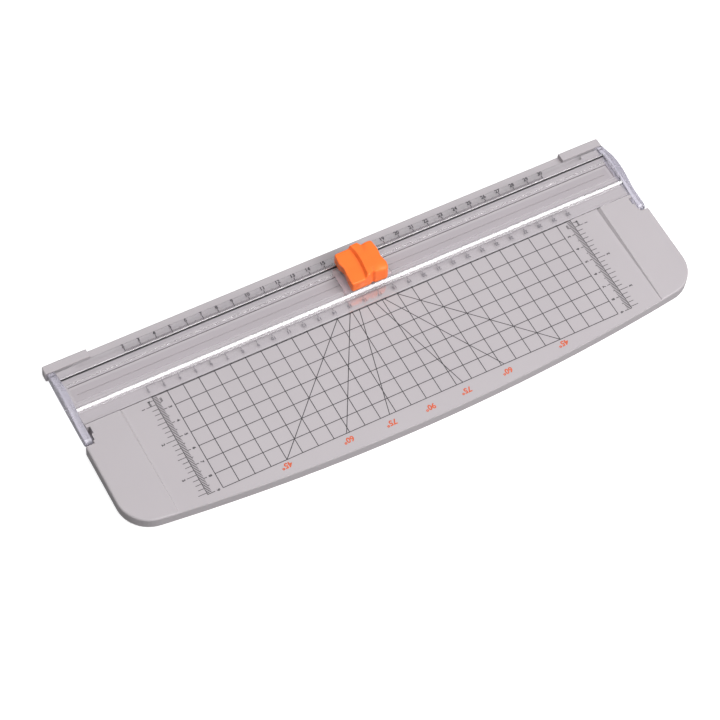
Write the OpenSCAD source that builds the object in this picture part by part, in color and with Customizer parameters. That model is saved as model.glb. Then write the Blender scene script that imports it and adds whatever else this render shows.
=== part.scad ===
// Rail paper trimmer: a printed base with a hinged clear rail along which a press-to-cut blade slides.
// Every module is drawn from the cutting line: X along the line, Y to the back, Z up from the bed.
// The whole model is then lifted onto its feet and centred, so the origin is under the middle.

/* [Base] */
// Width of the base from side to side
base_w = 374; // [350:1:400]
// Distance from the cutting line to the foremost point of the curved front edge
front_d = 103; // [98:1:130]
// Distance from the cutting line to the back edge
back_d = 26.2; // [25.8:0.1:30]
// Thickness of the base under the bed
base_t = 7.5; // [7:0.1:10]
// Radius of the curved front edge
front_r = 1352; // [900:1:2500]
// Radius of the two front corners
corner_r = 20; // [10:1:24]
// Distance between the two paper fences
fence_gap = 317; // [300:0.2:324]
// Height of a fence where it meets the rail
fence_h = 2; // [0.5:0.1:2.5]

/* [Rail] */
// Depth of the clear front flange, measured from the cutting line
rail_front = 20; // [18:0.5:22]
// Depth of the clear rear flange, measured from the cutting line
rail_rear = 18.8; // [18:0.1:19.4]
// Distance from the cutting line to the inner face of the track's front wall
track_front = 9.8; // [9.6:0.1:10.2]
// Distance from the cutting line to the inner face of the track's rear wall
track_rear = 10.8; // [10:0.1:11.2]
// Top of the two walls of the track above the bed
wall_top = 4.3; // [4:0.1:4.5]
// Height of the end arms' arch above the bed
arm_top = 6.2; // [5.5:0.1:7]

/* [Slider] */
// Where the slider stands along the rail
slider_x = 7; // [-150:1:150]
// Length of the press cap along the rail
cap_l = 24.4; // [24:0.1:28]
// Depth of the press cap across the rail
cap_d = 22.8; // [22.4:0.1:25]
// Top of the press cap above the bed
cap_top = 16.5; // [16:0.1:20]
// How far the cap and blade travel down when pressed
press_travel = 2.2; // [1.5:0.1:2.2]

/* [Feet] */
// Diameter of a rubber foot
foot_d = 12; // [8:1:14]
// How far a foot stands below the base
foot_h = 1.2; // [0.8:0.1:3]

/* [Hidden] */
$fn = 48;

// Colours
abs_grey = [0.80, 0.78, 0.79];
clear_tint = [0.86, 0.85, 0.93, 0.45];
cap_orange = [1.0, 0.47, 0.16];
milky = [0.85, 0.83, 0.84];
steel = [0.70, 0.71, 0.73];
rubber = [0.30, 0.30, 0.31];
mat_grey = [0.70, 0.68, 0.69];

// Small amount by which cutters run past the faces they cut
past = 1;

// Base
half_w = base_w / 2;
fence_x = fence_gap / 2;
front_cy = front_r - front_d;
corner_x = half_w - corner_r;
corner_y = front_cy - sqrt(pow(front_r - corner_r, 2) - pow(corner_x, 2));
corner_t = asin(corner_x / (front_r - corner_r));
rear_r = 1.5;
edge_r = 1.2;
fence_rear = -rail_front - 0.5;
fence_front = -120;
fence_run = 2;
fence_rise = 2.5;
step_y = 16;
step_z = -3.3;
block_x = 159.2;
block_y = 20.3;
boss_x = 170;
boss_y = 18;
side_x = half_w - 5.5;
recess_front = -33.5;
strip_w = 9;
strip_l = 358;
strip_t = 2.5;
score_w = 0.6;
score_z = -0.4;
score_end = 2.5;
pocket_z = -4;
pocket_w = 28;
pocket_l = 27;
pocket_pitch_x = 30;
pocket_pitch_y = 29;
pocket_front = -76;
foot_col = 5;
foot_x = foot_col * pocket_pitch_x;
foot_front_y = pocket_front;
foot_rear_y = 11;
foot_seat = 0.8;
notch_w = 2.2;
notch_y = [-27.4, -22.6];
notch_deep = 5;
catch_w = 0.9;
catch_y = [-31.5, -27.3];
catch_deep = 3.2;

// Hinge
pin_y = 17;
pin_z = -1;
pin_r = 0.75;
pin_fit = 0.05;
pin_in = 10;
arm_in = half_w - 5;
arm_out = half_w - 0.6;
pin_blind = 1;
boss_r = 3;

// Rail
flange_z = [0.5, 2.0];
lip_z = [1.5, 2.4];
floor_z = 3.0;
flange_r = 0.5;
under_y = 8.9;
slot_half = 5.2;
lip_half = 6.9;
bridge_l = 2;
fillet_r = 0.9;
front_crest_r = 0.35;
facet_tilt = 28;
facet_w = 1.7;
rear_crest_r = 0.6;
wall_foot = 0.3;

// Slider
cap_fit = 0.4;
cap_z = wall_top + press_travel + cap_fit;
cap_roof = 12.6;
cap_low = 2.3;
facet_x = 0.5;
facet_y = 1.5;
facet_r = 16;
groove_x = 3;
plate_l = 31;
plate_z = [3.2, 4.4];
plate_half = 8.4;
tower_l = 20.4;
tower_half = 8.4;
tower_top = 8;
roof_t = 1.4;
neck_l = 29;
neck_half = 4.9;
shoe_z = [0.45, 1.3];
shoe_half = 6.6;
well_l = 16.4;
well_half = 2.7;
stem_l = 10;
stem_half = 2.2;
holder_l = 15.6;
holder_z = 3.2;
blade_t = 0.4;
blade_half = 5;
blade_tip = 2;
blade_top = 6.1;
edge_top = 4;
peg_x = 2.6;
peg_z = 5;
peg_r = 0.6;
spring_x = 7.7;
spring_r = 1.8;
wire_r = 0.2;
spring_turns = 4;
ring_sides = 6;
turn_steps = 16;

// Points along an arc about (cx, cy), both ends included
function arc_pts(cx, cy, r, a0, a1, n) =
    [for (i = [0:n]) let (a = a0 + (a1 - a0) * i / n) [cx + r * cos(a), cy + r * sin(a)]];

// Points along a cubic curve, without its first point
function curve_pts(p0, p1, p2, p3, n) =
    [for (i = [1:n]) let (t = i / n, s = 1 - t)
        s * s * s * p0 + 3 * s * s * t * p1 + 3 * s * t * t * p2 + t * t * t * p3];

// Outline of the base, drawn in from its true edge by d
function base_outline(d) = concat(
    arc_pts(corner_x, corner_y, corner_r - d, corner_t - 90, 0, 12),
    arc_pts(half_w - rear_r, back_d - rear_r, rear_r - d, 0, 90, 3),
    arc_pts(rear_r - half_w, back_d - rear_r, rear_r - d, 90, 180, 3),
    arc_pts(-corner_x, corner_y, corner_r - d, 180, 270 - corner_t, 12),
    [for (i = [1:23]) let (a = -90 - corner_t + 2 * corner_t * i / 24)
        [(front_r - d) * cos(a), front_cy + (front_r - d) * sin(a)]]);

// Unit vector at a right angle to the outline at its point i, pointing inwards
function inward(pts, i) =
    let (n = len(pts), t = pts[(i + 1) % n] - pts[(i + n - 1) % n]) [-t[1], t[0]] / norm(t);

// Height of the raised ends, which get lower towards the front
function ramp(y) = fence_h * (y - fence_front) / (fence_rear - fence_front);

// Closed solid through a list of rings that all have the same number of points
module loft(rings) {
    n = len(rings[0]);
    last = len(rings) - 1;
    points = [for (ring = rings) each ring];
    sides = [for (k = [0:last - 1], i = [0:n - 1])
        let (j = (i + 1) % n) [k * n + i, (k + 1) * n + i, (k + 1) * n + j, k * n + j]];
    bottom = [[for (i = [0:n - 1]) i]];
    top = [[for (i = [n - 1:-1:0]) last * n + i]];
    polyhedron(points = points, faces = concat(bottom, sides, top), convexity = 4);
}

// Box given by its two opposite corners
module span(lo, hi) {
    translate(lo) cube(hi - lo);
}

// From the cutting line's frame to the frame of the whole object
module placed() {
    translate([0, (front_d - back_d) / 2, base_t + foot_h]) children();
}

// From the slider's own middle to its place on the rail
module on_rail() {
    placed() translate([slider_x, 0, 0]) children();
}

// Children at both ends, the second one mirrored
module both_ends() {
    children();
    mirror([1, 0, 0]) children();
}

// Slab of the base with a rounded top edge and raised ends, whose inner faces slope down to the bed
module base_slab() {
    under = base_outline(0.6);
    full = base_outline(0);
    rounding = [for (a = [0:22.5:90])
        let (d = edge_r * (1 - cos(a)), dz = edge_r * (sin(a) - 1))
            [for (p = base_outline(d)) [p[0], p[1], ramp(p[1]) + dz]]];
    rings = concat([[for (p = under) [p[0], p[1], -base_t]]],
        [[for (p = full) [p[0], p[1], 0.6 - base_t]]], rounding);
    difference() {
        loft(rings);
        rotate([90, 0, 0]) linear_extrude(height = 4 * front_d, center = true)
            polygon([[-fence_x, 0], [fence_x, 0], [fence_x + fence_run, fence_rise],
                [-fence_x - fence_run, fence_rise]]);
        span([-base_w, fence_rear, 0], [base_w, 2 * back_d, 5]);
    }
}

// Low ground behind the rail, into which its rear flange swings; the hinge pins' bosses stand in it
module rear_step() {
    span([-block_x, step_y, step_z], [block_x, back_d + past, past]);
    span([-boss_x, step_y, step_z], [boss_x, block_y, past]);
    span([-half_w - past, boss_y, step_z], [half_w + past, block_y, past]);
}

// Shallow pockets between the ribs of the underside, leaving the cells of the front feet solid
module underside_pockets() {
    for (col = [-foot_col:foot_col], row = [0:2]) {
        foot_cell = row == 0 && (col == 0 || abs(col) == foot_col);
        if (!foot_cell)
            translate([col * pocket_pitch_x, pocket_front + row * pocket_pitch_y, -base_t - past])
                span([-pocket_w / 2, -pocket_l / 2, 0],
                    [pocket_w / 2, pocket_l / 2, base_t + past + pocket_z]);
    }
}

// One end's cuts: the side recess for the arm, the notch and catch by its tip and the pin's bore
module end_cuts() {
    span([side_x, recess_front, -base_t - past], [half_w + past, block_y, 5]);
    span([side_x - notch_w, notch_y[0], -notch_deep], [side_x + past, notch_y[1], 5]);
    span([side_x - catch_w, catch_y[0], -catch_deep], [side_x + past, catch_y[1], 5]);
    translate([side_x - pin_in, pin_y, pin_z]) rotate([0, 90, 0]) cylinder(r = pin_r, h = pin_in + past);
}

// Sloped edges along the top of the back and down the outer side of each rear block
module rear_chamfers() {
    chamfer = 0.8;
    translate([-half_w, back_d, 0]) rotate([45, 0, 0])
        translate([0, -chamfer / 2, -chamfer / 2]) cube([base_w, chamfer, chamfer]);
    both_ends() translate([half_w, block_y - 2, 0]) rotate([0, 45, 0])
        translate([-chamfer / 2, 0, -chamfer / 2]) cube([chamfer, 20, chamfer]);
    translate([-block_x, back_d, step_z]) rotate([45, 0, 0])
        translate([0, -chamfer / 2, -chamfer / 2]) cube([2 * block_x, chamfer, chamfer]);
}

module base_plate() {
    color(abs_grey) placed() difference() {
        base_slab();
        rear_step();
        rear_chamfers();
        underside_pockets();
        both_ends() end_cuts();
        span([-strip_l / 2, -strip_w / 2, -strip_t], [strip_l / 2, strip_w / 2, past]);
        for (x = [-foot_x, 0, foot_x], y = [foot_front_y, foot_rear_y])
            translate([x, y, -base_t - past]) cylinder(d = foot_d, h = foot_seat + past);
    }
}

// Strip under the blade, with the fine score that the blade's tip runs in
module cutting_strip() {
    color(mat_grey) placed() difference() {
        span([-strip_l / 2, -strip_w / 2, -strip_t], [strip_l / 2, strip_w / 2, 0]);
        span([score_end - strip_l / 2, -score_w / 2, score_z], [strip_l / 2 - score_end, score_w / 2, past]);
    }
}

// Steel pin pressed into the base's side, standing out into the arm
module hinge_pin() {
    translate([side_x - pin_in, pin_y, pin_z]) rotate([0, 90, 0])
        cylinder(r = pin_r, h = arm_out - pin_blind - 0.2 - side_x + pin_in);
}

module hinge_pin_left() {
    color(steel) placed() mirror([1, 0, 0]) hinge_pin();
}

module hinge_pin_right() {
    color(steel) placed() hinge_pin();
}

// Rubber foot with a rounded lower rim, set into its seat
module foot(x, y) {
    rim = 0.6;
    color(rubber) placed() translate([x, y, -base_t - foot_h]) rotate_extrude() union() {
        translate([0, rim]) square([foot_d / 2, foot_h + foot_seat - rim]);
        square([foot_d / 2 - rim, rim + 0.2]);
        translate([foot_d / 2 - rim, rim]) circle(r = rim);
    }
}

module foot_front_left() {
    foot(-foot_x, foot_front_y);
}

module foot_front_middle() {
    foot(0, foot_front_y);
}

module foot_front_right() {
    foot(foot_x, foot_front_y);
}

module foot_rear_left() {
    foot(-foot_x, foot_rear_y);
}

module foot_rear_middle() {
    foot(0, foot_rear_y);
}

module foot_rear_right() {
    foot(foot_x, foot_rear_y);
}

// Front wall of the track from the floor up: a hollow corner, a small crest and a facet that faces the user
function front_wall() =
    let (crest = [track_front + front_crest_r, wall_top - front_crest_r],
        foot = crest + facet_w * [cos(facet_tilt), -sin(facet_tilt)])
    concat(
        arc_pts(track_front - fillet_r, floor_z + fillet_r, fillet_r, 270, 325, 5),
        arc_pts(crest[0], crest[1], front_crest_r, 180, 90 - facet_tilt, 5),
        arc_pts(foot[0], foot[1], front_crest_r, 90 - facet_tilt, 0, 5),
        [[foot[0] + front_crest_r, flange_z[1] + wall_foot],
            [foot[0] + front_crest_r + wall_foot, flange_z[1]]]);

// Rear wall of the track from the floor up: upright, with a round crest
function rear_wall() =
    let (y = track_rear + rear_crest_r)
    concat(
        [[track_rear, floor_z]],
        arc_pts(y, wall_top - rear_crest_r, rear_crest_r, 180, 0, 10),
        [[y + rear_crest_r, flange_z[1] + wall_foot], [y + rear_crest_r + wall_foot, flange_z[1]]]);

// Section of one half of the rail, from the slot over its wall to its flange's edge
module rail_section(wall, reach) {
    polygon(concat(
        [[slot_half, lip_z[0]], [slot_half, lip_z[1]], [lip_half, lip_z[1]], [lip_half, floor_z]],
        wall,
        [[reach - flange_r, flange_z[1]], [reach, flange_z[1] - flange_r], [reach, flange_z[0]],
            [under_y, flange_z[0]], [under_y - 0.4, lip_z[0]]]));
}

// The section run along X between -l/2 and l/2
module along_x(l) {
    translate([-l / 2, 0, 0]) rotate([90, 0, 90]) linear_extrude(height = l) children();
}

// Clear rail: two flanges, two track walls and the slot for the slider, closed by a bridge at each end
module clear_rail() {
    rail_l = 2 * arm_in;
    color(clear_tint) placed() union() {
        along_x(rail_l) mirror([1, 0]) rail_section(front_wall(), rail_front);
        along_x(rail_l) rail_section(rear_wall(), rail_rear);
        both_ends() span([arm_in - bridge_l, -lip_half, lip_z[0]], [arm_in, lip_half, lip_z[1]]);
    }
}

// Side outline of an end arm: round the hinge boss, over the arch and down to the tip
function arm_outline() = concat(
    arc_pts(pin_y, pin_z, boss_r, -90, 90, 12),
    curve_pts([pin_y, pin_z + boss_r], [14.5, 2.4], [9, arm_top], [1, arm_top], 10),
    curve_pts([1, arm_top], [-9, arm_top], [-13, 1.9], [-23, 1.7], 12),
    arc_pts(-28.6, -1.3, 3, 90, 250, 10),
    [[-24, -4.6], [4, -4.6]]);

// End arm, rounded along its outer edge, with a snap nub by its tip and a blind bore for the pin
module end_arm() {
    outline = arm_outline();
    rings = [for (step = [[arm_in, 0], [arm_out - 0.6, 0], [arm_out - 0.25, 0.12], [arm_out, 0.55]])
        [for (i = [0:len(outline) - 1])
            let (p = outline[i] + step[1] * inward(outline, i)) [step[0], p[0], p[1]]]];
    difference() {
        union() {
            loft(rings);
            translate([arm_in - 0.9, -28.6, -1.3]) rotate([0, 90, 0]) cylinder(r = 1, h = 2);
        }
        translate([arm_in - past, pin_y, pin_z]) rotate([0, 90, 0])
            cylinder(r = pin_r + pin_fit, h = arm_out - pin_blind - arm_in + past);
    }
}

module end_arm_left() {
    color(clear_tint) placed() mirror([1, 0, 0]) end_arm();
}

module end_arm_right() {
    color(clear_tint) placed() end_arm();
}

// Guide that runs in the track: a plate on the floor, a tower under the cap and a neck through the slot
module slider_carriage() {
    color(milky) on_rail() difference() {
        union() {
            span([-plate_l / 2, -plate_half, plate_z[0]], [plate_l / 2, plate_half, plate_z[1]]);
            span([-tower_l / 2, -tower_half, plate_z[0]], [tower_l / 2, tower_half, tower_top]);
            span([-neck_l / 2, -neck_half, shoe_z[1]], [neck_l / 2, neck_half, plate_z[1]]);
        }
        span([-well_l / 2, -well_half, 0], [well_l / 2, well_half, tower_top - roof_t]);
        span([-stem_l / 2 - 0.3, -well_half, 0], [stem_l / 2 + 0.3, well_half, tower_top + past]);
    }
}

// Shoe clipped under the neck, which holds the slider in the rail and rides over the paper
module slider_shoe() {
    color(milky) on_rail() difference() {
        span([-neck_l / 2, -shoe_half, shoe_z[0]], [neck_l / 2, shoe_half, shoe_z[1]]);
        span([-well_l / 2, -well_half, 0], [well_l / 2, well_half, 5]);
    }
}

// One ring of the spring's wire at angle a along the coil
function wire_ring(a, rise) = [for (k = [0:ring_sides - 1])
    let (b = 360 * k / ring_sides, r = spring_r + wire_r * cos(b))
        [r * cos(a), r * sin(a), rise * a / 360 + wire_r * sin(b)]];

// Compression spring between the tower and the roof of the cap
module spring() {
    gap = 0.05;
    height = cap_roof - tower_top - 2 * gap;
    rise = (height - 2 * wire_r) / spring_turns;
    translate([0, 0, tower_top + gap + wire_r])
        loft([for (i = [0:spring_turns * turn_steps]) wire_ring(360 * i / turn_steps, rise)]);
}

module spring_left() {
    color(steel) on_rail() translate([-spring_x, 0, 0]) spring();
}

module spring_right() {
    color(steel) on_rail() translate([spring_x, 0, 0]) spring();
}

// Plan of the cap: two lobes with a waist on each long side
function cap_plan() =
    let (hx = cap_l / 2, hy = cap_d / 2, r = 1.6, waist = 1.3)
    concat(
        arc_pts(hx - r, hy - r, r, 0, 90, 5),
        arc_pts(r - hx, hy - r, r, 90, 180, 5),
        curve_pts([-hx, hy - r], [-hx, 4], [waist - hx, 4], [waist - hx, 0], 6),
        curve_pts([waist - hx, 0], [waist - hx, -4], [-hx, -4], [-hx, r - hy], 6),
        arc_pts(r - hx, r - hy, r, 190, 270, 5),
        arc_pts(hx - r, r - hy, r, 270, 350, 5),
        curve_pts([hx, r - hy], [hx, -4], [hx - waist, -4], [hx - waist, 0], 6),
        curve_pts([hx - waist, 0], [hx - waist, 4], [hx, 4], [hx, hy - r - 0.2], 6));

// Press cap: a hollow shell with a low facet on its left, a curved wall beside it and a notch at the front
module slider_cap() {
    room_x = tower_l / 2 + cap_fit;
    room_y = tower_half + cap_fit;
    groove_w = 1.4;
    groove_y = -cap_d / 2 - 0.4;
    color(cap_orange) on_rail() difference() {
        translate([0, 0, cap_z]) linear_extrude(height = cap_top - cap_z) polygon(cap_plan());
        translate([facet_x - facet_r, facet_y, cap_top - cap_low]) cylinder(r = facet_r, h = cap_low + past);
        span([-room_x, -room_y, 0], [room_x, room_y, cap_roof]);
        translate([groove_x, groove_y, cap_z - past]) rotate([0, 0, 45]) cube([groove_w, groove_w, cap_top]);
    }
}

// Holder on the cap's stem, with a seat for the blade and two pegs through it
module blade_holder() {
    top = tower_top - roof_t - 0.2;
    color(cap_orange) on_rail() union() {
        difference() {
            union() {
                span([-holder_l / 2, -stem_half, holder_z], [holder_l / 2, stem_half, top]);
                span([-stem_l / 2, -stem_half, top - past], [stem_l / 2, stem_half, cap_roof]);
            }
            span([-blade_half - 1, -blade_t / 2, 0], [blade_half + 1, cap_d, blade_top + 0.1]);
        }
        for (x = [-peg_x, peg_x])
            translate([x, -blade_t / 2 - 0.5, peg_z]) rotate([-90, 0, 0])
                cylinder(r = peg_r, h = stem_half + blade_t / 2 + 0.5);
    }
}

// Steel blade with two sloping edges, so that it cuts on the way out and back
module blade() {
    color(steel) on_rail() difference() {
        translate([0, blade_t / 2, 0]) rotate([90, 0, 0]) linear_extrude(height = blade_t)
            polygon([[0, blade_tip], [blade_half, edge_top], [blade_half, blade_top],
                [-blade_half, blade_top], [-blade_half, edge_top]]);
        for (x = [-peg_x, peg_x])
            translate([x, -1, peg_z]) rotate([-90, 0, 0]) cylinder(r = peg_r, h = 2);
    }
}

// Plate pushed over the pegs to clamp the blade
module blade_keeper() {
    color(milky) on_rail() difference() {
        span([-blade_half - 0.8, blade_t / 2, holder_z + 0.1], [blade_half + 0.8, stem_half, blade_top]);
        for (x = [-peg_x, peg_x])
            translate([x, -1, peg_z]) rotate([-90, 0, 0]) cylinder(r = peg_r, h = 6);
    }
}

base_plate();
cutting_strip();
hinge_pin_left();
hinge_pin_right();
foot_front_left();
foot_front_middle();
foot_front_right();
foot_rear_left();
foot_rear_middle();
foot_rear_right();
clear_rail();
end_arm_left();
end_arm_right();
slider_carriage();
slider_shoe();
spring_left();
spring_right();
slider_cap();
blade_holder();
blade();
blade_keeper();
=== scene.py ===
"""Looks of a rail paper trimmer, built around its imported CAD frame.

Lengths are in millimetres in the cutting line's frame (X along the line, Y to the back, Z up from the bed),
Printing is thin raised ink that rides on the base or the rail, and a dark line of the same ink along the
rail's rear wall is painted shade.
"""
import math

import bmesh
import bpy
from mathutils import Matrix, Vector


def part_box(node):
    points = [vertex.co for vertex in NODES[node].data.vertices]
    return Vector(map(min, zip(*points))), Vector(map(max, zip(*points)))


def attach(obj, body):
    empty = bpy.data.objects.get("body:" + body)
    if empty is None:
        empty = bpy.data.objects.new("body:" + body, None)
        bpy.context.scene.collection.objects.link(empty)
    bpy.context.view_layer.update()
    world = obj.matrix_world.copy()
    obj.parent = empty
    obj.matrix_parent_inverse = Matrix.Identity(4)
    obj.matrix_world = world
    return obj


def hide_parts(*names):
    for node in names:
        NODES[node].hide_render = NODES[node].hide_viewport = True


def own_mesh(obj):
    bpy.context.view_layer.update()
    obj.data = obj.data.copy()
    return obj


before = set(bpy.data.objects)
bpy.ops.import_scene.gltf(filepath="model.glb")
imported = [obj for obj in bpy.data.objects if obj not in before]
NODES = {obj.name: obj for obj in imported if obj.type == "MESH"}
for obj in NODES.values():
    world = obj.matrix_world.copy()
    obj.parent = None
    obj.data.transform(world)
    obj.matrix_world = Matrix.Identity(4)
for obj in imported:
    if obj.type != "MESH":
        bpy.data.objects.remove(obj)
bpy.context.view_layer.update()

# ---------------------------------------------------------------- frame

MM = 0.001
strip_low, strip_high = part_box("cutting_strip")
rail_low, rail_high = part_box("clear_rail")
cap_low, cap_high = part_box("slider_cap")
CUT_Y = (strip_low.y + strip_high.y) / 2
BED_Z = strip_high.z
SHARP_ANGLE = 50


def at(x, y, z=0.0):
    """A point of the cutting line's frame, in millimetres, as a point of the row's frame."""
    return Vector((x * MM, CUT_Y + y * MM, BED_Z + z * MM))


# ---------------------------------------------------------------- printing

CELL = 10.0
INCH = 25.4
INK_GAP = 0.012
INK_T = 0.028
# Step in height between crossing lines of ink, so that their tops don't coincide
LAYER = 0.004
LINE_W = 0.45
TICK_W = 0.42
GRID_BACK = -20.0
GRID_ROWS = 7
GRID_FRONT = GRID_BACK - GRID_ROWS * CELL
GRID_HALF = 130.0
RULER_X = 140.0
FLANGE_Z = 2.0
TRACK_FLOOR_Z = 3.0
# Place of the painted shade line: the rear wall's inner face, the strip on the track floor at its foot, and
# the heights it covers up the wall
WALL_FACE_Y = 10.8
WALL_STRIP_Y = 10.53
WALL_STRIP_W = 0.4
WALL_LINE_Z = (3.05, 3.95)
FINE_TICK = 0.65
SCALE_MIDDLE = 16
SCALE_LABELS = range(2, 31)
FONT_CAP_H = 0.7
ANGLES = (45, 60, 75)
GLYPH_STEPS = 3
BOLD = 0.05
ANGLE_NUMERAL_H = 3.4
# Labels of the angle lines: (x, y, text)
ANGLE_NUMERALS = [(-92, -93.2, "45°"), (-53, -94.2, "60°"), (-26, -95.2, "75°"), (-1, -96, "90°"),
                  (23, -95.6, "75°"), (51, -94.8, "60°"), (90, -93, "45°")]
# Side rulers: distances from the middle, heights of the letters, widths of the lines
RULER_EDGE_X = 139.6
RULER_EDGE_W = 0.35
INCH_TICK_W = 0.34
RULER_NUMERAL_H = 1.9
CM_NUMERAL_X = 133
INCH_NUMERAL_X = 147.6
# Reach of the ticks at whole, half and other steps of a centimetre and of an inch
CM_REACHES = (4.6, 3.6, 2.8)
INCH_REACHES = (6.0, 5.2, 3.8)
CM_STEPS = 10
INCH_STEPS = 8
# Words of the side rulers: (text, height, distance from the middle, distance from the grid's back line)
RULER_WORDS = [("cm", 1.6, 135.4, 3.6), ("inch", 1.5, 142.6, 3.4)]


def box_between(bm, start, end, width, z):
    """Adds a thin closed bar of ink from start to end, both (x, y) in millimetres, lying on height z."""
    (x0, y0), (x1, y1) = start, end
    length = math.hypot(x1 - x0, y1 - y0)
    side_x = (y0 - y1) / length * width / 2
    side_y = (x1 - x0) / length * width / 2
    corners = [(x0 + side_x, y0 + side_y), (x0 - side_x, y0 - side_y),
               (x1 - side_x, y1 - side_y), (x1 + side_x, y1 + side_y)]
    low, high = z + INK_GAP, z + INK_GAP + INK_T
    bottom = [bm.verts.new(at(x, y, low)) for x, y in corners]
    top = [bm.verts.new(at(x, y, high)) for x, y in corners]
    bm.faces.new(reversed(bottom))
    bm.faces.new(top)
    for i in range(4):
        j = (i + 1) % 4
        bm.faces.new((bottom[i], bottom[j], top[j], top[i]))


def write(bm, text, height, x, y, z, turn=0.0):
    """Adds text of that height, centred on (x, y) and turned by turn degrees, lying on height z."""
    curve = bpy.data.curves.new("glyphs", "FONT")
    curve.body = text
    curve.size = height / FONT_CAP_H * MM
    curve.align_x = "CENTER"
    curve.align_y = "CENTER"
    curve.extrude = INK_T / 2 * MM
    curve.offset = height * BOLD * MM
    curve.resolution_u = GLYPH_STEPS
    holder = bpy.data.objects.new("glyphs", curve)
    mesh = bpy.data.meshes.new_from_object(holder)
    place = at(x, y, z + INK_GAP + INK_T / 2)
    mesh.transform(Matrix.Translation(place) @ Matrix.Rotation(math.radians(turn), 4, "Z"))
    bm.from_mesh(mesh)
    bpy.data.objects.remove(holder)
    bpy.data.curves.remove(curve)
    bpy.data.meshes.remove(mesh)


def bridge(bm, rings):
    """Joins rings of the same number of points by a skin of quads."""
    for lower, upper in zip(rings, rings[1:]):
        for i in range(len(lower)):
            j = (i + 1) % len(lower)
            bm.faces.new((lower[i], lower[j], upper[j], upper[i]))


def piece_from(bm, name, material, body, smooth=False):
    """Turns bm into a piece of that name and material that rides on the body."""
    bmesh.ops.recalc_face_normals(bm, faces=bm.faces)
    mesh = bpy.data.meshes.new(name)
    bm.to_mesh(mesh)
    bm.free()
    mesh.materials.clear()
    mesh.materials.append(material)
    piece = bpy.data.objects.new(name, mesh)
    bpy.context.scene.collection.objects.link(piece)
    if smooth:
        mesh.shade_smooth()
    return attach(piece, body)


def print_grid(ink):
    """The centimetre grid, with its lines along and across the bed."""
    bm = bmesh.new()
    columns = round(2 * GRID_HALF / CELL)
    for i in range(columns + 1):
        x = -GRID_HALF + i * CELL
        box_between(bm, (x, GRID_BACK), (x, GRID_FRONT), LINE_W, 0)
    for row in range(GRID_ROWS + 1):
        y = GRID_BACK - row * CELL
        half = RULER_X if row == 0 else GRID_HALF
        box_between(bm, (-half, y), (half, y), LINE_W, LAYER)
    piece_from(bm, "printed_grid", ink, "base")


def print_angle_lines(ink):
    """Lines at 45, 60 and 75 degrees to the cutting line, from its middle out over the grid."""
    bm = bmesh.new()
    for angle in ANGLES:
        spread = 1 / math.tan(math.radians(angle))
        for side in (-1, 1):
            ends = [(-side * y * spread, y) for y in (GRID_BACK, GRID_FRONT)]
            box_between(bm, ends[0], ends[1], LINE_W, 2 * LAYER)
    piece_from(bm, "printed_angle_lines", ink, "base")


def print_angle_numerals(ink):
    """Orange numerals by the front edge, upright for a user who stands behind the trimmer."""
    bm = bmesh.new()
    for x, y, text in ANGLE_NUMERALS:
        write(bm, text, ANGLE_NUMERAL_H, x, y, 0, 180)
    piece_from(bm, "printed_angle_numerals", ink, "base")


def tick_reach(step, steps, reaches):
    """Reach of the tick at that step, where a whole unit has that number of steps."""
    if step % steps == 0:
        return reaches[0]
    return reaches[1] if step % (steps // 2) == 0 else reaches[2]


def print_side_ruler(name, side, ink):
    """A ruler down one side of the grid: millimetres on its inner edge, eighths of an inch on its outer."""
    bm = bmesh.new()
    edge = side * RULER_EDGE_X
    box_between(bm, (edge, GRID_BACK), (edge, GRID_FRONT), RULER_EDGE_W, LAYER)
    for step in range(GRID_ROWS * CM_STEPS + 1):
        y = GRID_BACK - step
        reach = tick_reach(step, CM_STEPS, CM_REACHES)
        box_between(bm, (edge, y), (edge - side * reach, y), TICK_W, 0)
    first_eighth = math.ceil(-GRID_BACK / (INCH / INCH_STEPS))
    last_eighth = math.floor(-GRID_FRONT / (INCH / INCH_STEPS))
    for eighth in range(first_eighth, last_eighth + 1):
        y = -eighth * INCH / INCH_STEPS
        reach = tick_reach(eighth, INCH_STEPS, INCH_REACHES)
        box_between(bm, (edge, y), (edge + side * reach, y), INCH_TICK_W, 0)
    for centimetre in range(3, 10):
        write(bm, str(centimetre), RULER_NUMERAL_H, side * CM_NUMERAL_X, -centimetre * CELL, 0, 90 * side)
    for inch in (1, 2, 3):
        write(bm, str(inch), RULER_NUMERAL_H, side * INCH_NUMERAL_X, -inch * INCH, 0, 90 * side)
    for text, height, x, gap in RULER_WORDS:
        write(bm, text, height, side * x, GRID_BACK - gap, 0, 90 * side)
    piece_from(bm, name, ink, "base")


def print_wall_line(ink):
    """Painted shade: a dark bar of ink up the inner face of the track's rear wall and a dark strip along the
    floor at its foot, where the clear wall looks dark.
    """
    inset = 0.2
    low = at(rail_low.x / MM + inset, WALL_FACE_Y - INK_GAP - INK_T, WALL_LINE_Z[0])
    high = at(rail_high.x / MM - inset, WALL_FACE_Y - INK_GAP, WALL_LINE_Z[1])
    bm = bmesh.new()
    bmesh.ops.create_cube(bm, size=1.0, matrix=Matrix.LocRotScale((low + high) / 2, None, high - low))
    start, end = rail_low.x / MM + inset, rail_high.x / MM - inset
    box_between(bm, (start, WALL_STRIP_Y), (end, WALL_STRIP_Y), WALL_STRIP_W, TRACK_FLOOR_Z)
    piece_from(bm, "painted_shade_wall_line", ink, "rail")


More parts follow.
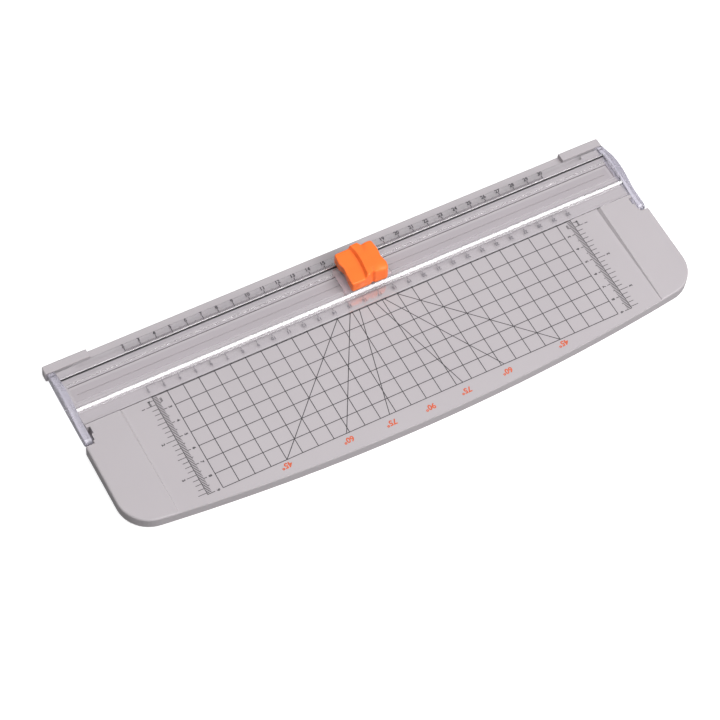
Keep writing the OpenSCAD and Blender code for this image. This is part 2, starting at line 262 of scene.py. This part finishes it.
def print_flange_scale(name, side, tick_root, reaches, label_y, label_h, tick_w, ink):
    """A centimetre scale along one flange of the rail: side is 1 for the rear flange, -1 for the front."""
    bm = bmesh.new()
    first, last = SCALE_LABELS[0], SCALE_LABELS[-1]
    for step in range((last - first) * CM_STEPS + 1):
        x = (first - SCALE_MIDDLE) * CELL + step
        reach = tick_reach(step, CM_STEPS, reaches)
        width = tick_w if step % CM_STEPS == 0 else tick_w * FINE_TICK
        box_between(bm, (x, side * tick_root), (x, side * (tick_root + reach)), width, FLANGE_Z)
    for label in SCALE_LABELS:
        x = (label - SCALE_MIDDLE) * CELL
        write(bm, str(label), label_h, x, side * label_y, FLANGE_Z, 0 if side > 0 else 180)
    piece_from(bm, name, ink, "rail")


# ---------------------------------------------------------------- materials


def material(name, color, roughness, **sockets):
    """A Principled material; uniform numbers sit on the shader's own sockets."""
    mat = bpy.data.materials.new(name)
    mat.use_nodes = True
    shader = mat.node_tree.nodes["Principled BSDF"]
    shader.inputs["Base Color"].default_value = (*color, 1)
    shader.inputs["Roughness"].default_value = roughness
    for socket, value in sockets.items():
        shader.inputs[socket.replace("_", " ").title().replace("Ior", "IOR")].default_value = value
    return mat


def add_node(mat, kind, **inputs):
    """Adds a node of that kind and sets the named inputs."""
    node = mat.node_tree.nodes.new(kind)
    for name, value in inputs.items():
        node.inputs[name.replace("_", " ").title()].default_value = value
    return node


def noise(mat, scale, detail=3.0, stretch=(1, 1, 1)):
    """Noise over the piece's own place in metres, stretched along the axes, as the node's output."""
    nodes, links = mat.node_tree.nodes, mat.node_tree.links
    place = nodes.new("ShaderNodeTexCoord")
    mapping = add_node(mat, "ShaderNodeMapping", scale=stretch)
    texture = add_node(mat, "ShaderNodeTexNoise", scale=scale, detail=detail)
    links.new(place.outputs["Object"], mapping.inputs["Vector"])
    links.new(mapping.outputs["Vector"], texture.inputs["Vector"])
    return texture.outputs["Fac"]


def spread_value(mat, source, low, high):
    """Maps a noise value onto low to high."""
    ramp = mat.node_tree.nodes.new("ShaderNodeMapRange")
    ramp.inputs["From Min"].default_value = 0.3
    ramp.inputs["From Max"].default_value = 0.7
    ramp.inputs["To Min"].default_value = low
    ramp.inputs["To Max"].default_value = high
    mat.node_tree.links.new(source, ramp.inputs["Value"])
    return ramp.outputs["Result"]


def mottle(mat, color_a, color_b, scale, stretch=(1, 1, 1)):
    """Base colour that wanders softly between two close colours."""
    links = mat.node_tree.links
    mix = mat.node_tree.nodes.new("ShaderNodeMix")
    mix.data_type = "RGBA"
    factor, first, second = mix.inputs[0], mix.inputs[6], mix.inputs[7]
    first.default_value = (*color_a, 1)
    second.default_value = (*color_b, 1)
    links.new(spread_value(mat, noise(mat, scale, stretch=stretch), 0, 1), factor)
    links.new(mix.outputs[2], mat.node_tree.nodes["Principled BSDF"].inputs["Base Color"])


def rough_patches(mat, low, high, scale, stretch=(1, 1, 1)):
    """Roughness that varies from place to place, as on a handled moulding."""
    value = spread_value(mat, noise(mat, scale, stretch=stretch), low, high)
    mat.node_tree.links.new(value, mat.node_tree.nodes["Principled BSDF"].inputs["Roughness"])


def bump(mat, layers):
    """Surface relief from noise layers, each given as (scale, height in millimetres, stretch)."""
    links = mat.node_tree.links
    normal = None
    for scale, height, stretch in layers:
        node = add_node(mat, "ShaderNodeBump", distance=height * MM, strength=1.0)
        links.new(noise(mat, scale, stretch=stretch), node.inputs["Height"])
        if normal:
            links.new(normal, node.inputs["Normal"])
        normal = node.outputs["Normal"]
    links.new(normal, mat.node_tree.nodes["Principled BSDF"].inputs["Normal"])


def base_material():
    mat = material("base_abs", (0.42, 0.39, 0.40), 0.5, specular_ior_level=0.4)
    mottle(mat, (0.425, 0.395, 0.412), (0.410, 0.380, 0.398), 14)
    rough_patches(mat, 0.44, 0.56, 60)
    bump(mat, [(2600, 0.03, (1, 1, 1)), (30, 0.12, (1, 1, 1))])
    return mat


def strip_material():
    mat = material("strip_pvc", (0.37, 0.34, 0.36), 0.42)
    mottle(mat, (0.385, 0.352, 0.375), (0.36, 0.33, 0.35), 40, (0.2, 1, 1))
    rough_patches(mat, 0.35, 0.5, 90, (0.1, 1, 1))
    bump(mat, [(900, 0.03, (0.05, 1, 1))])
    return mat


def rubber_material():
    mat = material("foot_rubber", (0.05, 0.05, 0.052), 0.75)
    mottle(mat, (0.05, 0.05, 0.052), (0.075, 0.074, 0.076), 300)
    rough_patches(mat, 0.65, 0.85, 400)
    bump(mat, [(1800, 0.04, (1, 1, 1))])
    return mat


def let_light_through(mat, tint):
    """Lets lamps shine straight through clear plastic, so that it doesn't shade what is under it."""
    nodes, links = mat.node_tree.nodes, mat.node_tree.links
    path = nodes.new("ShaderNodeLightPath")
    either = nodes.new("ShaderNodeMath")
    either.operation = "MAXIMUM"
    open_air = nodes.new("ShaderNodeBsdfTransparent")
    open_air.inputs["Color"].default_value = (*tint, 1)
    mix = nodes.new("ShaderNodeMixShader")
    links.new(path.outputs["Is Shadow Ray"], either.inputs[0])
    links.new(path.outputs["Is Diffuse Ray"], either.inputs[1])
    links.new(either.outputs[0], mix.inputs[0])
    links.new(nodes["Principled BSDF"].outputs[0], mix.inputs[1])
    links.new(open_air.outputs[0], mix.inputs[2])
    links.new(mix.outputs[0], nodes["Material Output"].inputs["Surface"])


def rail_material():
    """Clear plastic with faint streaks along the rail, as from drawing it through a die."""
    mat = material("rail_clear", (1.0, 0.995, 1.0), 0.02, ior=1.49, transmission_weight=1.0,
                   coat_weight=1.0, coat_roughness=0.03)
    mat.node_tree.nodes["Principled BSDF"].inputs["Coat IOR"].default_value = 1.9
    mottle(mat, (0.93, 0.905, 0.935), (1.0, 0.995, 1.0), 420, (0.01, 1, 1))
    rough_patches(mat, 0.014, 0.026, 80, (0.2, 1, 1))
    let_light_through(mat, (1.0, 0.995, 1.0))
    return mat


def arm_material():
    mat = material("arm_clear", (0.56, 0.535, 0.615), 0.28, ior=1.4, transmission_weight=0.75,
                   coat_weight=0.6, coat_roughness=0.08)
    mottle(mat, (0.53, 0.51, 0.585), (0.60, 0.575, 0.65), 60, (1, 0.4, 1))
    rough_patches(mat, 0.2, 0.35, 120)
    let_light_through(mat, (0.85, 0.84, 0.88))
    return mat


def milky_material():
    mat = material("guide_milky", (0.88, 0.81, 0.84), 0.55, ior=1.1, transmission_weight=0.85)
    mottle(mat, (0.90, 0.83, 0.86), (0.86, 0.79, 0.82), 200)
    rough_patches(mat, 0.5, 0.6, 300)
    let_light_through(mat, (0.95, 0.95, 0.95))
    return mat


def orange_material(name, color, roughness):
    mat = material(name, color, roughness, specular_ior_level=0.5)
    darker = tuple(c * 0.93 for c in color)
    mottle(mat, color, darker, 120)
    rough_patches(mat, roughness * 0.85, roughness * 1.2, 350)
    bump(mat, [(3200, 0.018, (1, 1, 1)), (220, 0.03, (1, 1, 1))])
    return mat


def steel_material(name, color, roughness, stretch):
    mat = material(name, color, roughness, metallic=1.0)
    darker = tuple(c * 0.85 for c in color)
    mottle(mat, color, darker, 250, stretch)
    rough_patches(mat, roughness * 0.7, roughness * 1.4, 900, stretch)
    bump(mat, [(2500, 0.01, stretch)])
    return mat


def ink_material(name, color, roughness=0.5):
    mat = material(name, color, roughness)
    lighter = tuple(min(1, c * 1.25 + 0.01) for c in color)
    mottle(mat, color, lighter, 700)
    rough_patches(mat, roughness * 0.8, roughness * 1.2, 900)
    bump(mat, [(3000, 0.01, (1, 1, 1))])
    return mat


def dress(node, mat):
    """Gives a CAD node its material."""
    mesh = NODES[node].data
    mesh.materials.clear()
    mesh.materials.append(mat)


MATERIALS = {
    "base_plate": base_material(),
    "cutting_strip": strip_material(),
    "foot": rubber_material(),
    "clear_rail": rail_material(),
    "end_arm": arm_material(),
    "slider_carriage": milky_material(),
    "slider_cap": orange_material("cap_orange", (1.0, 0.185, 0.03), 0.38),
    "blade_holder": orange_material("holder_orange", (0.85, 0.16, 0.03), 0.4),
    "blade": steel_material("blade_steel", (0.62, 0.62, 0.64), 0.2, (1, 1, 12)),
    "hinge_pin": steel_material("pin_steel", (0.5, 0.5, 0.52), 0.3, (12, 1, 1)),
    "spring": steel_material("spring_steel", (0.45, 0.45, 0.47), 0.25, (1, 1, 1)),
}
MATERIALS["slider_shoe"] = MATERIALS["slider_carriage"]
MATERIALS["blade_keeper"] = MATERIALS["slider_carriage"]

for name in NODES:
    key = next(k for k in sorted(MATERIALS, key=len, reverse=True) if name.startswith(k))
    dress(name, MATERIALS[key])

ink_black = ink_material("ink_black", (0.025, 0.023, 0.026))
ink_pale = ink_material("ink_pale", (0.16, 0.15, 0.165))
ink_orange = ink_material("ink_orange", (0.50, 0.095, 0.04))

print_grid(ink_black)
print_angle_lines(ink_black)
print_angle_numerals(ink_orange)
print_side_ruler("printed_ruler_left", -1, ink_black)
print_side_ruler("printed_ruler_right", 1, ink_black)
# Painted shade: a dark ink line along the rail's rear wall, where the clear wall looks dark
print_wall_line(ink_black)
print_flange_scale("printed_scale_rear", 1, 12.6, (2.9, 2.2, 1.7), 17.1, 2.3, 0.5, ink_black)
print_flange_scale("printed_scale_front", -1, 12.6, (2.4, 1.6, 1.1), 16.3, 2.1, 0.4, ink_pale)

# ---------------------------------------------------------------- press cap

CAP_X = (cap_low.x + cap_high.x) / 2 / MM
CAP_FLOOR = (cap_low.z - BED_Z) / MM
CAP_TOP = (cap_high.z - BED_Z) / MM
CAP_STEP = 2.6
CAP_EDGE = 1.0
CAP_ROOF = 12.6
CAP_HOLLOW = (10.6, 8.8)
CAP_MIDDLE = (-0.4, 0.6)
# Wall beside the low facet: where it turns, x of its foot and crest there, and their bends before and behind
WALL_TURN_Y = 4.5
FOOT_X = -2.0
CREST_X = -0.6
FOOT_BENDS = (0.009, 0.0115)
CREST_BENDS = (0.0077, 0.0173)
# Grooves at the front and the back of the plateau: x, slant, and (depth, width) of each
GROOVE_X = 2.0
GROOVE_SLANT = 0.14
FRONT_GROOVE = (0.6, 0.7)
BACK_GROOVE = (0.9, 1.5)
# How fast the plateau falls away towards its right and its front
RIGHT_FALL = 0.018
FRONT_FALL = 0.06
# Rings of the cap's mesh: up its sides, over its edge and across its top, and the spacing round it
SIDE_RINGS = 10
EDGE_RINGS = 5
TOP_RINGS = 30
SIDE_STEP = 0.6
# Corners of the cap from above, round from the front left: top (x, y), bottom (x, y) and corner radius
CAP_CORNERS = [
    ((-13.0, -10.8), (-12.8, -11.0), 1.2),
    ((-5.4, -10.8), (-5.4, -11.0), 1.5),
    ((-0.6, -9.9), (-0.6, -10.9), 1.0),
    ((1.5, -8.7), (1.5, -9.9), 0.25),
    ((2.8, -9.7), (2.8, -10.9), 1.0),
    ((11.7, -10.5), (11.8, -11.2), 2.6),
    ((12.5, -5.5), (12.4, -5.5), 2.0),
    ((11.4, -0.5), (11.3, -0.5), 2.5),
    ((12.2, 5.0), (12.1, 5.0), 2.0),
    ((11.5, 11.7), (11.6, 11.9), 1.4),
    ((4.8, 11.4), (4.8, 11.6), 1.0),
    ((2.9, 13.4), (2.9, 13.5), 1.0),
    ((-3.0, 13.2), (-3.0, 13.3), 2.0),
    ((-12.3, 13.0), (-12.3, 13.0), 1.4),
    ((-12.9, 6.0), (-12.4, 6.0), 1.2),
    ((-11.9, 2.0), (-11.0, 2.0), 1.0),
    ((-12.5, -2.5), (-11.8, -2.5), 1.5),
]


def smooth(t):
    """0 below 0, 1 above 1 and an S curve between."""
    t = max(0.0, min(1.0, t))
    return t * t * (3 - 2 * t)


def cap_height(x, y):
    """Top of the cap: a low facet on the left, a curved wall and a plateau with a groove at both its ends."""
    half = y > WALL_TURN_Y
    foot = FOOT_X - FOOT_BENDS[half] * (y - WALL_TURN_Y) ** 2
    crest = CREST_X - CREST_BENDS[half] * (y - WALL_TURN_Y) ** 2
    z = CAP_TOP - CAP_STEP + CAP_STEP * smooth((x - foot) / (crest - foot))
    groove_x = GROOVE_X + GROOVE_SLANT * (y + 8)
    front, back = smooth((-y - 5.0) / 2.5), smooth((y - 4.0) / 7.0)
    for share, depth, width in ((front, *FRONT_GROOVE), (back, *BACK_GROOVE)):
        z -= depth * share * math.exp(-((x - groove_x) / width) ** 2)
    z -= RIGHT_FALL * max(0.0, x - 5) ** 2
    z -= FRONT_FALL * max(0.0, -y - 5) ** 2 * smooth((x - 2) / 5)
    return z


def rounded_loop(corners, steps=5):
    """Arcs that round off the corners of a closed loop, each corner given as ((x, y), radius)."""
    count = len(corners)
    arcs = []
    for i, (corner, radius) in enumerate(corners):
        here = Vector(corner)
        back = (Vector(corners[i - 1][0]) - here).normalized()
        on = (Vector(corners[(i + 1) % count][0]) - here).normalized()
        half = back.angle(on) / 2
        reach = radius / math.tan(half)
        start, end = here + back * reach, here + on * reach
        centre = here + (back + on).normalized() * (radius / math.sin(half))
        first, last = start - centre, end - centre
        turn = first.angle_signed(last)
        arcs.append([centre + Matrix.Rotation(-turn * k / steps, 2) @ first for k in range(steps + 1)])
    return arcs


def with_sides(arcs, counts):
    """Joins the arcs by straight sides that are split into the given numbers of stretches."""
    loop = []
    for i, arc in enumerate(arcs):
        following = arcs[(i + 1) % len(arcs)][0]
        loop += arc
        loop += [arc[-1].lerp(following, k / counts[i]) for k in range(1, counts[i])]
    return loop


def onto_box(p, x_half, y_half):
    """The point where the ray from the middle through p meets a box of those half widths."""
    return p / max(abs(p.x) / x_half, abs(p.y) / y_half)


def make_cap(mat):
    """The press cap: a shell with a hollow below, tapered sides, rounded edges and the shaped top."""
    top_arcs = rounded_loop([(top, radius) for top, bottom, radius in CAP_CORNERS])
    low_arcs = rounded_loop([(bottom, radius) for top, bottom, radius in CAP_CORNERS])
    gaps = [(top_arcs[(i + 1) % len(top_arcs)][0] - arc[-1]).length for i, arc in enumerate(top_arcs)]
    counts = [max(1, round(gap / SIDE_STEP)) for gap in gaps]
    top, low = with_sides(top_arcs, counts), with_sides(low_arcs, counts)
    count = len(top)
    inward = []
    for i in range(count):
        along = top[(i + 1) % count] - top[i - 1]
        inward.append(Vector((-along.y, along.x)).normalized())
    rings = []
    for x_half, y_half, z in ((*CAP_HOLLOW, CAP_ROOF), (*CAP_HOLLOW, CAP_FLOOR)):
        rings.append([(*onto_box(p, x_half, y_half), z) for p in low])
    for k in range(SIDE_RINGS):
        share = k / SIDE_RINGS
        rings.append([(*q.lerp(p, share), CAP_FLOOR + share * (cap_height(*p) - CAP_EDGE - CAP_FLOOR))
                      for p, q in zip(top, low)])
    for k in range(EDGE_RINGS + 1):
        angle = math.pi / 2 * k / EDGE_RINGS
        ring = []
        for p, n in zip(top, inward):
            spot = p + n * CAP_EDGE * (1 - math.cos(angle))
            ring.append((*spot, cap_height(*spot) - CAP_EDGE * (1 - math.sin(angle))))
        rings.append(ring)
    rim = [Vector(p[:2]) for p in rings[-1]]
    middle = Vector(CAP_MIDDLE)
    for k in range(1, TOP_RINGS):
        ring = [middle.lerp(p, 1 - k / TOP_RINGS) for p in rim]
        rings.append([(*p, cap_height(*p)) for p in ring])
    bm = bmesh.new()
    made = [[bm.verts.new(at(CAP_X + x, y, z)) for x, y, z in ring] for ring in rings]
    bridge(bm, made)
    bm.faces.new(reversed(made[0]))
    hub = bm.verts.new(at(CAP_X + middle.x, middle.y, cap_height(*middle)))
    for i in range(count):
        bm.faces.new((made[-1][i], made[-1][(i + 1) % count], hub))
    cap = piece_from(bm, "press_cap", mat, "head", smooth=True)
    cap.data.set_sharp_from_angle(angle=math.radians(SHARP_ANGLE))
    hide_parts("slider_cap")


make_cap(MATERIALS["slider_cap"])

# ---------------------------------------------------------------- return springs

COIL_R = 1.8
WIRE_R = 0.2
COIL_TURNS = 4
TURN_STEPS = 32
WIRE_SIDES = 10


def make_spring(name, mat):
    """The CAD spring drawn finer, as a coil of wire."""
    spring_low, spring_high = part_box(name)
    middle = (spring_low + spring_high) / 2
    rise = spring_high.z - spring_low.z - 2 * WIRE_R * MM
    bm = bmesh.new()
    rings = []
    steps = COIL_TURNS * TURN_STEPS
    for i in range(steps + 1):
        turn = 2 * math.pi * i / TURN_STEPS
        out = Vector((math.cos(turn), math.sin(turn), 0))
        centre = Vector((middle.x, middle.y, spring_low.z + WIRE_R * MM + rise * i / steps))
        spot = centre + out * COIL_R * MM
        ring = []
        for k in range(WIRE_SIDES):
            side = 2 * math.pi * k / WIRE_SIDES
            around = out * math.cos(side) + Vector((0, 0, math.sin(side)))
            ring.append(bm.verts.new(spot + around * WIRE_R * MM))
        rings.append(ring)
    bridge(bm, rings)
    bm.faces.new(reversed(rings[0]))
    bm.faces.new(rings[-1])
    coil = piece_from(bm, f"coil_{name}", mat, "carriage", smooth=True)
    coil.data.set_sharp_from_angle(angle=math.radians(SHARP_ANGLE))
    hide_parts(name)
    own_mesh(coil)


for name in ("spring_left", "spring_right"):
    make_spring(name, MATERIALS["spring"])

# ---------------------------------------------------------------- floor, lights and camera

FLOOR_SIZE = 12.0
FLOOR_GLOW = 0.75
KEY_DIRECTION = (0.30, -0.54, 0.78)
ROOM_LIGHT = 0.12
ROOM_GLOSS = 0.5
WINDOW_GLOSS = 5.2
ROOM_THROUGH = 0.7
# Cosines of the angles from the key's direction between which the window fades out
WINDOW_EDGE = (0.89, 0.97)


def floor_material():
    """White paper that the camera sees brightly lit, and that throws back less light than it shows."""
    mat = material("floor_paper", (0.9, 0.9, 0.9), 0.9, specular_ior_level=0.1)
    nodes, links = mat.node_tree.nodes, mat.node_tree.links
    shader = nodes["Principled BSDF"]
    path = nodes.new("ShaderNodeLightPath")
    seen = nodes.new("ShaderNodeMath")
    seen.operation = "MAXIMUM"
    links.new(path.outputs["Is Camera Ray"], seen.inputs[0])
    links.new(path.outputs["Is Transmission Ray"], seen.inputs[1])
    glow = nodes.new("ShaderNodeMath")
    glow.operation = "MULTIPLY"
    glow.inputs[1].default_value = FLOOR_GLOW
    links.new(seen.outputs[0], glow.inputs[0])
    links.new(glow.outputs[0], shader.inputs["Emission Strength"])
    shader.inputs["Emission Color"].default_value = (1, 1, 1, 1)
    mix = nodes.new("ShaderNodeMix")
    mix.data_type = "RGBA"
    mix.inputs[6].default_value = (0.35, 0.35, 0.35, 1)
    mix.inputs[7].default_value = (0.5, 0.5, 0.5, 1)
    links.new(seen.outputs[0], mix.inputs[0])
    links.new(mix.outputs[2], shader.inputs["Base Color"])
    return mat


def make_floor():
    bm = bmesh.new()
    bmesh.ops.create_grid(bm, x_segments=1, y_segments=1, size=FLOOR_SIZE / 2)
    mesh = bpy.data.meshes.new("floor")
    bm.to_mesh(mesh)
    bm.free()
    mesh.materials.append(floor_material())
    floor = bpy.data.objects.new("floor", mesh)
    bpy.context.scene.collection.objects.link(floor)


def softbox(name, direction, distance, size, power):
    """A square area light that stands in that direction from the origin and faces it."""
    light = bpy.data.lights.new(name, "AREA")
    light.shape = "SQUARE"
    light.size = size
    light.energy = power
    holder = bpy.data.objects.new(name, light)
    bpy.context.scene.collection.objects.link(holder)
    towards = Vector(direction).normalized()
    holder.location = towards * distance
    holder.rotation_euler = (-towards).to_track_quat("-Z", "Y").to_euler()
    holder.visible_glossy = False
    holder.visible_transmission = False


def make_world():
    """White surroundings: a dim lamp, a window in reflections, even white to the eye and through plastic."""
    world = bpy.data.worlds.new("studio")
    bpy.context.scene.world = world
    world.use_nodes = True
    nodes, links = world.node_tree.nodes, world.node_tree.links
    path = nodes.new("ShaderNodeLightPath")
    place = nodes.new("ShaderNodeTexCoord")
    facing = nodes.new("ShaderNodeVectorMath")
    facing.operation = "DOT_PRODUCT"
    facing.inputs[1].default_value = Vector(KEY_DIRECTION).normalized()
    links.new(place.outputs["Generated"], facing.inputs[0])
    outside = nodes.new("ShaderNodeMath")
    outside.operation = "LESS_THAN"
    outside.inputs[1].default_value = 0.5
    links.new(path.outputs["Transmission Depth"], outside.inputs[0])
    facing_outside = nodes.new("ShaderNodeMath")
    facing_outside.operation = "MULTIPLY"
    links.new(facing.outputs["Value"], facing_outside.inputs[0])
    links.new(outside.outputs[0], facing_outside.inputs[1])
    window = nodes.new("ShaderNodeMapRange")
    window.interpolation_type = "SMOOTHSTEP"
    for socket, value in (("From Min", WINDOW_EDGE[0]), ("From Max", WINDOW_EDGE[1]),
                          ("To Min", ROOM_GLOSS), ("To Max", WINDOW_GLOSS)):
        window.inputs[socket].default_value = value
    links.new(facing_outside.outputs[0], window.inputs["Value"])
    level = None
    for socket, strength in (("Is Glossy Ray", None), ("Is Transmission Ray", ROOM_THROUGH),
                             ("Is Camera Ray", 1.0)):
        mix = nodes.new("ShaderNodeMix")
        if level:
            links.new(level, mix.inputs[2])
        else:
            mix.inputs[2].default_value = ROOM_LIGHT
        if strength:
            mix.inputs[3].default_value = strength
        else:
            links.new(window.outputs["Result"], mix.inputs[3])
        links.new(path.outputs[socket], mix.inputs[0])
        level = mix.outputs[0]
    links.new(level, nodes["Background"].inputs["Strength"])
    nodes["Background"].inputs["Color"].default_value = (1, 1, 1, 1)


def make_camera():
    """The camera looks down at the bed from the front left, and is rolled a little."""
    target = at(-21.7, -50.5, 0)
    distance = 1.3606
    azimuth, elevation, roll = math.radians(-34.74), math.radians(57.71), math.radians(7.1)
    data = bpy.data.cameras.new("camera")
    data.lens = 118.2
    data.sensor_width = 36.0
    data.clip_start = 0.05
    camera = bpy.data.objects.new("camera", data)
    bpy.context.scene.collection.objects.link(camera)
    back = Vector((math.sin(azimuth) * math.cos(elevation), -math.cos(azimuth) * math.cos(elevation),
                   math.sin(elevation)))
    camera.rotation_mode = "QUATERNION"
    level = (-back).to_track_quat("-Z", "Y")
    camera.rotation_quaternion = level @ Matrix.Rotation(roll, 4, "Z").to_quaternion()
    camera.location = target + back * distance
    bpy.context.scene.camera = camera


make_floor()
make_world()
softbox("key", KEY_DIRECTION, 1.6, 1.3, 35)
softbox("top", (-0.35, 0.25, 1.0), 1.8, 1.6, 15)
make_camera()
bpy.context.scene.view_settings.view_transform = "Standard"
